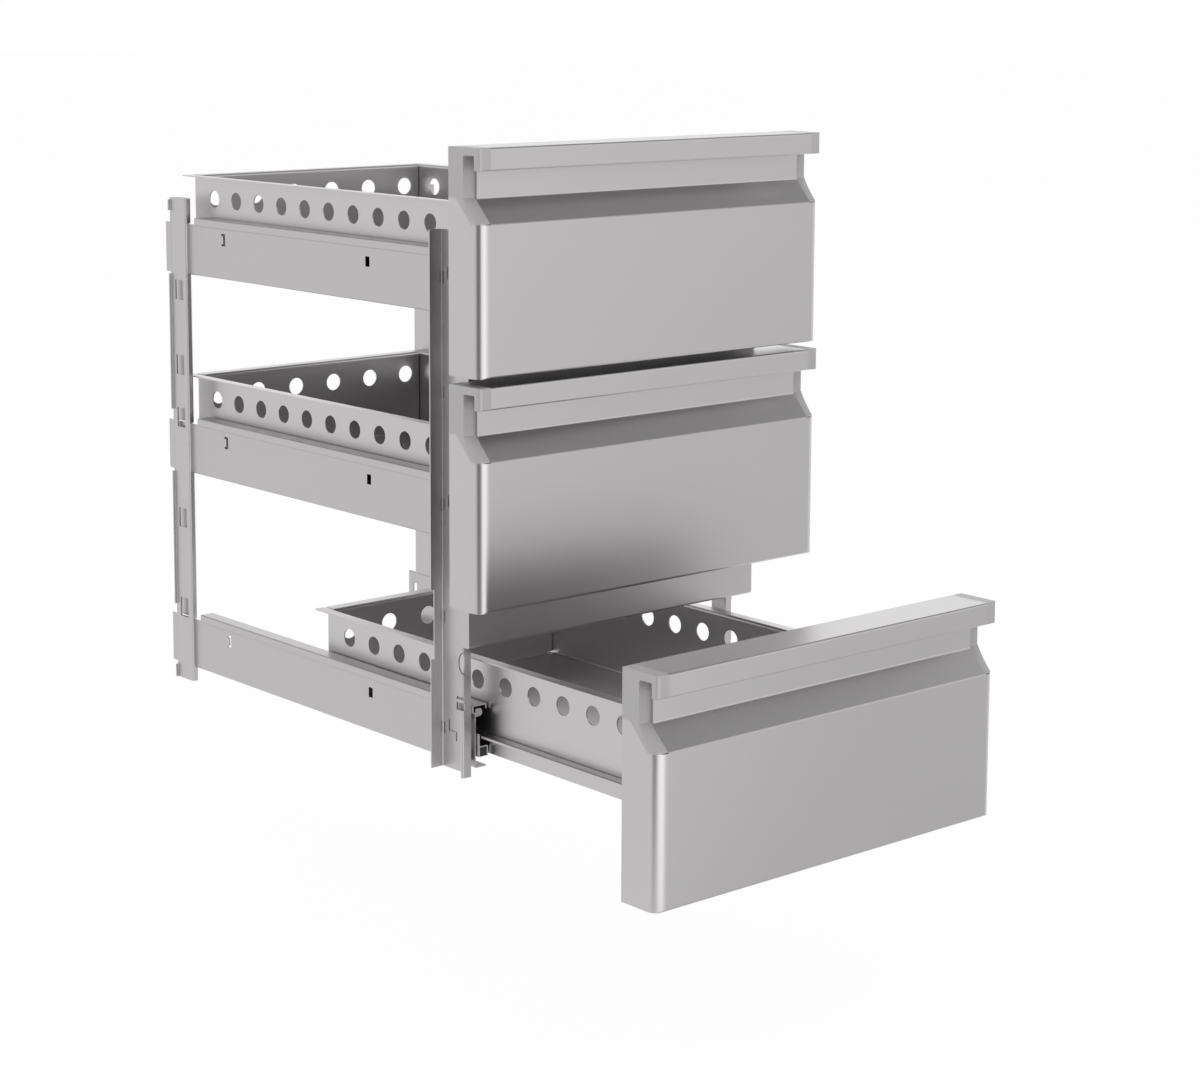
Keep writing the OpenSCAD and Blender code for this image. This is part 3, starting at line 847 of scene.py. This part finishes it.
@dataclass
class Tray:
    """Perforated pan tray with open corner seams, its screws and its two runners."""

    drop: float = 59.0
    half: float = 153.5
    length: float = 550.5
    height: float = 97.5
    sheet: float = 1.2
    flange: float = 12.0
    rear_flange: float = 7.0
    hole: float = 19.3
    pitch: float = 43.4
    margin: float = 38.5
    hole_drop: float = 25.0
    count: int = 12
    rear_pitch: float = 52.5
    rear_inset: float = 7.0
    rear_count: int = 6
    seam: float = 1.1
    strip: float = 7.0
    lap: float = 3.0
    tab: float = 10.0
    relief: float = 10.0
    bend: float = 1.6
    runner_drop: float = 135.0
    runner_height: float = 20.0
    runner_reach: float = 11.9
    runner_lip: float = 3.0
    runner_sheet: float = 1.5
    runner_ends: Pair = (3.0, 515.0)
    screw_across: tuple[float, ...] = (-120.0, 0.0, 120.0)
    screw_drops: tuple[float, ...] = (42.0, 84.0)

    def pan(self) -> Piece:
        """The tray: side walls, floor and side flanges in one fold, the end walls folded up between them.

        Returns:
            The object.
        """
        h, w, inner, z = -self.height, self.half, self.half - self.sheet - self.seam, -self.sheet
        end, strip, reach, far = self.length - self.rear_inset, self.strip, self.strip + self.lap, self.length + 20.0
        sides = folded([(-w - self.flange, z), (-w, z), (-w, h), (w, h), (w, z), (w + self.flange, z)], self.sheet,
                       self.bend)
        back = self.length + self.rear_flange
        rear = folded([(end - reach, h), (end, h), (end, z), (back, z)], self.sheet, self.bend)
        front = folded([(0.0, -0.2), (0.0, h), (reach, h)], self.sheet, self.bend)
        tabs = [brick((min(a, b), end + 0.3, h + self.lap), (max(a, b), end + 1.5, -self.lap))
                for a, b in ((side * (w - 0.5), side * (w - self.tab - self.sheet)) for side in SIDES.values())]
        holes = [drum((0.0, self.length - self.margin - k * self.pitch, -self.hole_drop), Axis.X, self.hole / 2,
                      3.0 * w) for k in range(self.count)]
        holes += [drum(((k - (self.rear_count - 1) / 2) * self.rear_pitch, end, -self.hole_drop), Axis.Y,
                       self.hole / 2, 12.0) for k in range(self.rear_count)]
        holes += [drum((side * (w - self.relief / 2), y, h), Axis.Z, self.relief / 2, 6.0)
                  for side in SIDES.values() for y in (self.relief / 2, self.length - self.relief / 2)]
        piece = solid(prism(sides, Axis.Y, [0.0, back]), [
            (CUT, brick((-inner, end - strip, h - 1.0), (inner, far, h + 12.0))),
            (CUT, brick((-inner, -10.0, h - 1.0), (inner, strip, h + 12.0))),
            (CUT, brick((-w - 0.5, self.length, h - 3.0), (w + 0.5, far, z - 0.01))),
            (WELD, prism(rear, Axis.X, [-inner, inner])), (WELD, prism(front, Axis.X, [-inner, inner])),
            (WELD, gather(tabs)), (CUT, gather(holes))])
        return shifted(piece, (0.0, 0.0, -self.drop))

    def runner(self, side: float) -> Piece:
        """The runner: an upright leg on the tray wall, a gliding flange and its hanging lip.

        Args:
            side: -1.0 for the left, 1.0 for the right.

        Returns:
            The object.
        """
        x, out, z = self.half, self.half + self.runner_reach, -self.runner_drop
        outline = folded([(x, z - self.runner_height), (x, z), (out, z), (out, z - self.runner_lip)],
                         self.runner_sheet, 0.6, Turn.RIGHT)
        return solid(prism(outline, Axis.Y, self.runner_ends).mirrored(side))

    def screws(self) -> Piece:
        """The screws: a shank into the front, a domed head inside the tray and a cross recess in it.

        Returns:
            The object.
        """
        y = self.sheet
        profile = [(0.0, y - 10.0), (1.4, y - 9.6), (2.0, y - 8.6), (2.0, y), (4.0, y), (4.0, y + 0.9),
                   (3.6, y + 1.7), (2.7, y + 2.3), (1.4, y + 2.6), (0.0, y + 2.6)]
        places = [(x, 0.0, -self.drop - z) for x in self.screw_across for z in self.screw_drops]
        arms = [brick((-x, y + 1.2, -z), (x, y + 4.0, z)) for x, z in ((2.0, 0.45), (0.45, 2.0))]
        return solid(gather([turned(profile).moved(p) for p in places]),
                     [(CUT, gather([arm.moved(p) for p in places])) for arm in arms])

    def build(self, station: Station) -> None:
        """Make and dress one tray with its screws and runners.

        Args:
            station: the drawer's place.
        """
        level, body, shift = station.level, f"drawer_{station.level}", station.place(True)
        fit(f"pan_tray_{level}", self.pan(), shift, body, f"tray_{level}", TRAY_STEEL, 0.0)
        fit(f"screws_{level}", self.screws(), shift, body, f"tray_screws_{level}", SCREW_STEEL, 0.0)
        for word, side in SIDES.items():
            fit(f"tray_runner_{word}_{level}", self.runner(side), shift, body, f"runner_{word}_{level}",
                SLIDE_STEEL, 0.25)


@dataclass
class TelescopicSlide:
    """Middle member and fixed rail of a slide, with its glides."""

    sheet: float = 1.5
    inner: float = 155.8
    outer: float = 167.7
    deck: float = 146.0
    channel: float = 11.0
    rise: float = 12.5
    ends: Pair = (28.0, 520.0)
    pads: tuple[float, ...] = (30.0, 205.0)
    shoes: tuple[float, ...] = (35.0, 260.0, 462.0)
    glide: float = 30.0
    pad_height: float = 9.2
    pad_outer: float = 163.6
    foot: float = 167.0
    plug: float = 20.0
    web: float = 170.0
    band_out: float = 2.7
    band: float = 9.0
    top: float = 104.5
    bottom: float = 168.5
    lip: float = 5.5
    lip_inner: float = 155.0
    rail_ends: Pair = (31.5, 587.0)
    flange_end: float = 524.0
    foot_end: float = 571.0
    reach: Pair = (150.0, 180.0)
    bead: tuple[float, ...] = (160.5, 169.2, -116.5, -108.5)
    hook: tuple[float, ...] = (168.6, 182.0, -162.0, -118.0)
    hook_ends: Pair = (38.0, 63.0)
    lances: tuple[Cut, ...] = (
        (466.5, 470.0, -132.0, -118.5), (469.0, 473.5, -121.0, -118.5), (469.0, 473.5, -132.0, -130.0),
        (201.0, 208.0, -133.0, -122.5), (571.0, 578.0, -138.0, -126.0))

    def member(self, side: float) -> Piece:
        """The middle member: an inverted channel whose outer wall rises beside the runner.

        Args:
            side: -1.0 for the left, 1.0 for the right.

        Returns:
            The object.
        """
        deck, lap = -self.deck, np.array([0.4, 0.0])
        channel = folded([(self.inner, deck - self.channel), (self.inner, deck), (self.outer, deck)], self.sheet, 0.6,
                         Turn.RIGHT)
        channel = channel - lap * (channel[:, :1] > self.outer - 1.0)
        wall = folded([(self.outer, deck - self.channel), (self.outer, deck + self.rise)], self.sheet, 0.6)
        return handed(solid(prism(wall, Axis.Y, self.ends), [(WELD, prism(channel, Axis.Y, self.ends))]),
                      side)

    def glides(self, side: float) -> Piece:
        """Pads on the member's deck, shoes in its channel and the plug in its front end.

        Args:
            side: -1.0 for the left, 1.0 for the right.

        Returns:
            The object.
        """
        low, high, deck = self.inner + self.sheet, self.outer - self.sheet, -self.deck
        front, roof = self.ends[0], -self.deck - self.sheet
        parts = [brick((self.inner, front + y, deck), (self.pad_outer, front + y + self.glide,
                                                       self.pad_height - self.deck)) for y in self.pads]
        parts += [brick((low, front + y, 0.3 - self.foot), (high, front + y + self.glide, roof)) for y in self.shoes]
        parts.append(brick((low, front, deck - self.channel), (high, front + self.plug, roof)))
        return solid(gather(parts).mirrored(side))

    def rail(self, side: float) -> Piece:
        """The fixed rail: hanging lip, top flange, set-out band, web and foot in one fold, with a bead.

        Args:
            side: -1.0 for the left, 1.0 for the right.

        Returns:
            The object.
        """
        out, web, step, foot = self.web + self.band_out, self.web, self.top + self.band, -self.bottom
        outline = folded([(self.lip_inner, -self.top - self.lip), (self.lip_inner, -self.top), (out, -self.top),
                          (out, -step), (web, -step), (web, foot), (self.inner, foot)], self.sheet, 0.35, Turn.RIGHT)
        bead, hook = ([(x0, z0), (x1, z0), (x1, z1), (x0, z1)] for x0, x1, z0, z1 in (self.bead, self.hook))
        low, high, end, over = *self.reach, self.rail_ends[1] + 5.0, 5.0 - self.top
        return handed(solid(prism(outline, Axis.Y, self.rail_ends), [
            (CUT, brick((low, self.flange_end, 1.5 - step), (high, end, over))),
            (CUT, brick((web, self.flange_end, -step - 1.5), (high, end, over))),
            (CUT, brick((low, self.foot_end, foot - 3.0), (web - self.sheet, end, 2.5 + foot))),
            (WELD, prism(rounded(bead, [3.6, 0.3, 0.3, 3.6]), Axis.Y, [self.rail_ends[0], self.flange_end])),
            *((CUT, slot(web - self.sheet - 1.0, web + 1.0, cut)) for cut in self.lances),
            (WELD, prism(rounded(hook, [0.2, 1.8, 1.8, 0.2], 5), Axis.Y, self.hook_ends)),
            (CUT, brick((170.2, 36.0, -160.5), (180.5, 65.0, -119.5)))]), side)

    def build(self, station: Station) -> None:
        """Make and dress both slides of one level.

        Args:
            station: the drawer's place.
        """
        level, shift = station.level, station.place(False)
        for word, side in SIDES.items():
            end, body = f"{word}_{level}", f"slides_{level}"
            fit(f"slide_member_{end}", self.member(side), shift, body, f"slide_{end}", SLIDE_STEEL, 0.25)
            fit(f"slide_glides_{end}", self.glides(side), shift, body, f"glides_{end}", GLIDE_PLASTIC, 0.6)
            fit(f"side_rail_{end}", self.rail(side), shift, "frame", f"rail_{end}", FRAME_STEEL, 0.0)


@dataclass
class Posts:
    """Front posts, rear posts and cross plates of the open frame."""

    sheet: float = 1.5
    drop: float = 84.0
    half: float = 183.5
    front: float = 33.5
    web: float = 32.5
    flange_in: float = 10.5
    flange_out: float = 16.0
    height: float = 534.5
    tab: float = 6.5
    rear_half: float = 174.2
    rear_front: float = 539.5
    rear_web: float = 31.5
    rear_flange: float = 7.5
    rear_lip: float = 3.0
    rear_leg: float = 31.4
    ear: Pair = (98.5, 71.0)
    rear_height: float = 548.0
    plate_height: float = 91.0
    plate_half: float = 191.0
    plate_depth: float = 20.0
    plate_return: float = 12.0
    plates: tuple[tuple[str, float], ...] = (("upper", 224.0), ("lower", 0.0))
    notch: Pair = (425.0, 355.0)
    rear_notch: Pair = (-168.8, -111.7)
    rear_slots: tuple[float, ...] = (0.167, 0.321, 0.43, 0.639, 0.828)
    levels: tuple[float, ...] = (0.0, -224.0, -448.0)
    bite: Triple = (26.4, 61.0, 13.5)
    cuts: tuple[Cut, ...] = (
        (32.0, 42.8, -98.0, -95.0), (32.0, 42.8, -108.6, -101.0), (61.2, 63.0, -137.0, -125.0),
        (61.2, 63.0, -249.0, -237.0), (53.9, 55.6, -132.4, -120.5), (43.0, 55.0, -132.4, -131.6),
        (42.5, 44.2, -141.0, -131.6))

    def front_post(self, side: float) -> Piece:
        """Z-shaped post: inner flange, web with its windows and slits, and notched outer flange.

        Args:
            side: -1.0 for the left, 1.0 for the right.

        Returns:
            The object.
        """
        x, y, top, edge = self.half, self.front, -self.drop, self.half - self.sheet + self.flange_out
        back, foot, low, high = y + self.web, top - self.height, x - self.sheet - 1.0, x + 1.0
        bottom, above = self.notch
        outline = folded([(x - self.flange_in, y), (x, y), (x, back - self.sheet), (edge, back - self.sheet)],
                         self.sheet, 1.2)
        bite = drum((x - 0.5, self.bite[0], -self.bite[1]), Axis.X, self.bite[2], 4.0, 64)
        return handed(solid(prism(outline, Axis.Z, [foot - self.tab, top]), [
            (CUT, brick((low - 1.0, y + 2.9, foot - 20.0), (edge + 5.0, back + 5.0, foot))),
            (CUT, brick((edge - 4.0, back - 5.0, top - bottom), (edge + 5.0, back + 5.0, top - above))),
            (CUT, gather([bite.moved((0.0, 0.0, z)) for z in self.levels[1:]])),
            *((CUT, slot(low, high, cut, self.levels)) for cut in self.cuts)]), side)

    def rear_post(self, side: float) -> Piece:
        """Slotted post: inner leg and front flange notched round the rails, web and narrow rear lip.

        Args:
            side: -1.0 for the left, 1.0 for the right.

        Returns:
            The object.
        """
        x, y, top = self.rear_half, self.rear_front, -self.drop
        back, leg, inner = y + self.rear_web, y + self.rear_leg, x - self.rear_flange
        outline = folded([(inner, leg), (inner, y), (x, y), (x, back - self.sheet),
                          (x + self.rear_lip, back - self.sheet)], self.sheet, 0.5)
        rear, edge, ear = back - self.sheet - 1.0, x + self.rear_lip + 1.0, self.ear
        highs = [top - share * self.rear_height for share in self.rear_slots]
        tools = [slot(inner - 2.0, 170.0, (y - 2.0, leg + 2.0, *self.rear_notch), self.levels),
                 slot(x + 0.2, edge, (rear, back + 2.0, -sum(ear), -ear[0]), self.levels),
                 slot(x + 0.2, edge, (rear, back + 2.0, -2.5, 5.0), (top,)),
                 slot(x - self.sheet - 0.5, x + 0.5, (y + 7.3, y + 23.0, -22.0, 0.0), highs)]
        return handed(solid(prism(outline, Axis.Z, [top - self.rear_height, top]), [(CUT, gather(tools))]),
                      side)

    def cross_plate(self) -> Piece:
        """Cross plate: the sealing face folded back, with returns on the posts.

        Returns:
            The object.
        """
        h, d, half = self.plate_height / 2, self.plate_depth, self.plate_half
        outline = folded([(d, self.plate_return - h), (d, -h), (0.0, -h), (0.0, h), (d, h),
                          (d, h - self.plate_return)], self.sheet, 1.0, Turn.RIGHT)
        end = prism(rounded([(0.0, -h), (d, -h), (d, h), (0.0, h)], [2.6] * 4), Axis.X, [half - self.sheet, half])
        return solid(prism(outline, Axis.X, [-half, half]),
                     [(WELD, end.mirrored(side)) for side in SIDES.values()])

    def build(self) -> None:
        """Make and dress the posts and the plates."""
        for word, side in SIDES.items():
            for post, end in ((self.front_post, "front"), (self.rear_post, "rear")):
                fit(f"{end}_post_{word}", post(side), FRAME_PLACE, "frame", f"post_{end}_{word}", POST_STEEL, 0.0)
        for word, height in self.plates:
            fit(f"sealing_plate_{word}", self.cross_plate(), (0.0, 0.0, height), "frame", f"cross_plate_{word}",
                BACK_STEEL, 0.25)


@dataclass
class Studio:
    """Camera, floor, lamps and surroundings."""

    place: Triple = (-1.7250, -1.9417, 0.5832)
    yaw: float = -39.83
    pitch: float = 7.83
    roll: float = 0.07
    lens: float = 78.45
    shift: Pair = (0.0524, -0.1575)
    floor: float = -0.42
    ceiling: Triple = (0.42, 0.68, 0.68)
    panels: tuple[tuple[float, tuple[tuple[float, float, float, float, float], ...]], ...] = (
        (-0.82, ((-0.883, -0.469, 0.0, 0.90, 0.97),)),
        (0.60, ((-0.309, -0.951, 0.0, 0.86, 0.93),)),
        (-0.30, ((0.414, 0.602, -0.683, -0.26, 0.0), (0.0, -1.0, 0.0, 0.3, 0.6))),
        (0.24, ((0.680, 0.730, 0.1, 0.78, 0.96),)),
        (-0.07, ((-0.640, 0.770, 0.0, 0.35, 0.80),)))
    span: float = 40000.0
    matte: float = 0.9
    glow: float = 1.03
    cover: float = 0.92
    plain: float = 0.55
    aim: Triple = (0.0, 0.0, 0.1)
    lamps: tuple[tuple[str, Triple, float, float], ...] = (
        ("key", (-2.2, -1.2, 2.4), 1.4, 20.0), ("fill", (0.9, -2.2, 2.8), 1.8, 18.0))

    def camera(self) -> None:
        """Set the camera: its right, up and backward directions are the columns of its matrix."""
        yaw, pitch, roll = np.radians([self.yaw, self.pitch, self.roll])
        ahead = np.array([-np.sin(yaw) * np.cos(pitch), np.cos(yaw) * np.cos(pitch), -np.sin(pitch)])
        level = np.array([np.cos(yaw), np.sin(yaw), 0.0])
        upright = np.cross(level, ahead)
        right = np.cos(roll) * level + np.sin(roll) * upright
        up = np.cos(roll) * upright - np.sin(roll) * level
        data = bpy.data.cameras.new("camera")
        data.lens, data.sensor_width, data.clip_end = self.lens, 36.0, 50.0
        data.shift_x, data.shift_y = self.shift
        camera = hang("camera", data)
        camera.matrix_world = pose(right, up, -ahead, self.place)
        bpy.context.scene.camera = camera

    def room(self, shop: Shop, way: Node) -> Node:
        """Brightness of the studio that bare steel mirrors, by the direction in which it lies.

        Pale walls, a grey ceiling, and soft panels: each has its change of brightness, and the directions
        that it lies in with the cosines at which its effect starts and is full.

        Args:
            shop: the shop that adds the nodes.
            way: the unit vector that points there.

        Returns:
            The brightness.
        """
        bright = 1.0 - shop.add("ShaderNodeSeparateXYZ", {0: way}, 2).ramp(*self.ceiling[:2]) * self.ceiling[2]
        for change, fields in self.panels:
            part: Any = change
            for x, y, z, start, full in fields:
                side = shop.add("ShaderNodeVectorMath", {0: way, 1: (x, y, z)}, "Value", operation="DOT_PRODUCT")
                part = side.ramp(start, full) * part
            bright = bright + part
        return bright

    @staticmethod
    def rays(shop: Shop) -> tuple[Node, Node]:
        """One for rays from the camera, and one for rays from gloss or through glass.

        Args:
            shop: the shop that adds the nodes.

        Returns:
            The two values.
        """
        path = shop.add("ShaderNodeLightPath").made
        camera, gloss, glass = (Node(shop, path, f"Is {word} Ray") for word in ("Camera", "Glossy", "Transmission"))
        return camera, gloss.most(glass)

    def ground(self) -> None:
        """The pale floor: it mirrors as the studio round it, and keeps a soft shadow for the camera."""
        corners = np.array([[-1.0, -1.0, 0.0], [1.0, -1.0, 0.0], [1.0, 1.0, 0.0], [-1.0, 1.0, 0.0]]) * self.span
        mesh = mesh_of(Surface(corners, [[0, 1, 2, 3]]))
        mesh.transform(Matrix.Translation((0.0, 0.0, self.floor)))
        floor = hang("floor", mesh)
        material = bpy.data.materials.new("floor")
        shop = Shop(material)
        camera, mirrored = self.rays(shop)
        way = shop.add("ShaderNodeVectorMath", {0: shop.place()}, operation="NORMALIZE")
        matte = shop.add("ShaderNodeBsdfDiffuse", {"Color": (self.matte, self.matte, self.matte, 1.0)})
        glow = shop.add("ShaderNodeEmission", {"Color": (1.0, 1.0, 1.0, 1.0),
                                               "Strength": camera * self.glow + mirrored * self.room(shop, way)})
        mixed = shop.add("ShaderNodeMixShader", {0: camera * self.cover + mirrored, 1: matte, 2: glow})
        shop.add("ShaderNodeOutputMaterial", {"Surface": mixed})
        mesh.materials.append(material)

    def surroundings(self) -> None:
        """The world: white where it is seen, the studio where it is mirrored, a plain soft light elsewhere."""
        world = bpy.data.worlds.new("studio")
        bpy.context.scene.world = world
        shop = Shop(world)
        camera, mirrored = self.rays(shop)
        way = shop.add("ShaderNodeTexCoord", output="Generated")
        plain = (1.0 - mirrored) * self.plain + mirrored * self.room(shop, way)
        back = shop.add("ShaderNodeBackground", {"Color": (1.0, 1.0, 1.0, 1.0),
                                                 "Strength": plain * (1.0 - camera) + camera})
        shop.add("ShaderNodeOutputWorld", {"Surface": back})

    def lamp(self, name: str, place: Sequence[float], size: float, power: float) -> None:
        """Hang a square soft lamp that faces the part and isn't mirrored.

        Args:
            name: its name.
            place: where it hangs.
            size: its side.
            power: its power in watts.
        """
        data = bpy.data.lights.new(name, "AREA")
        data.shape, data.size, data.energy = "SQUARE", size, power
        back = unit(np.asarray(place, float) - np.asarray(self.aim, float))
        side = unit(np.cross((0.0, 0.0, 1.0), back))
        lamp = hang(name, data)
        lamp.matrix_world = pose(side, np.cross(back, side), back, place)
        lamp.visible_glossy = False

    def build(self) -> None:
        """Set up the studio."""
        self.camera()
        self.ground()
        self.surroundings()
        for lamp in self.lamps:
            self.lamp(*lamp)
        bpy.context.scene.view_settings.view_transform = "Standard"


def main() -> None:
    """Load the frame, build every piece over it and set up the studio."""
    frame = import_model()
    front, tray, slide = FrontPanel(), Tray(), TelescopicSlide()
    for station in STATIONS:
        front.build(station, frame["nodes"])
        tray.build(station)
        slide.build(station)
    Posts().build()
    Studio().build()


if __name__ == "__main__":
    main()
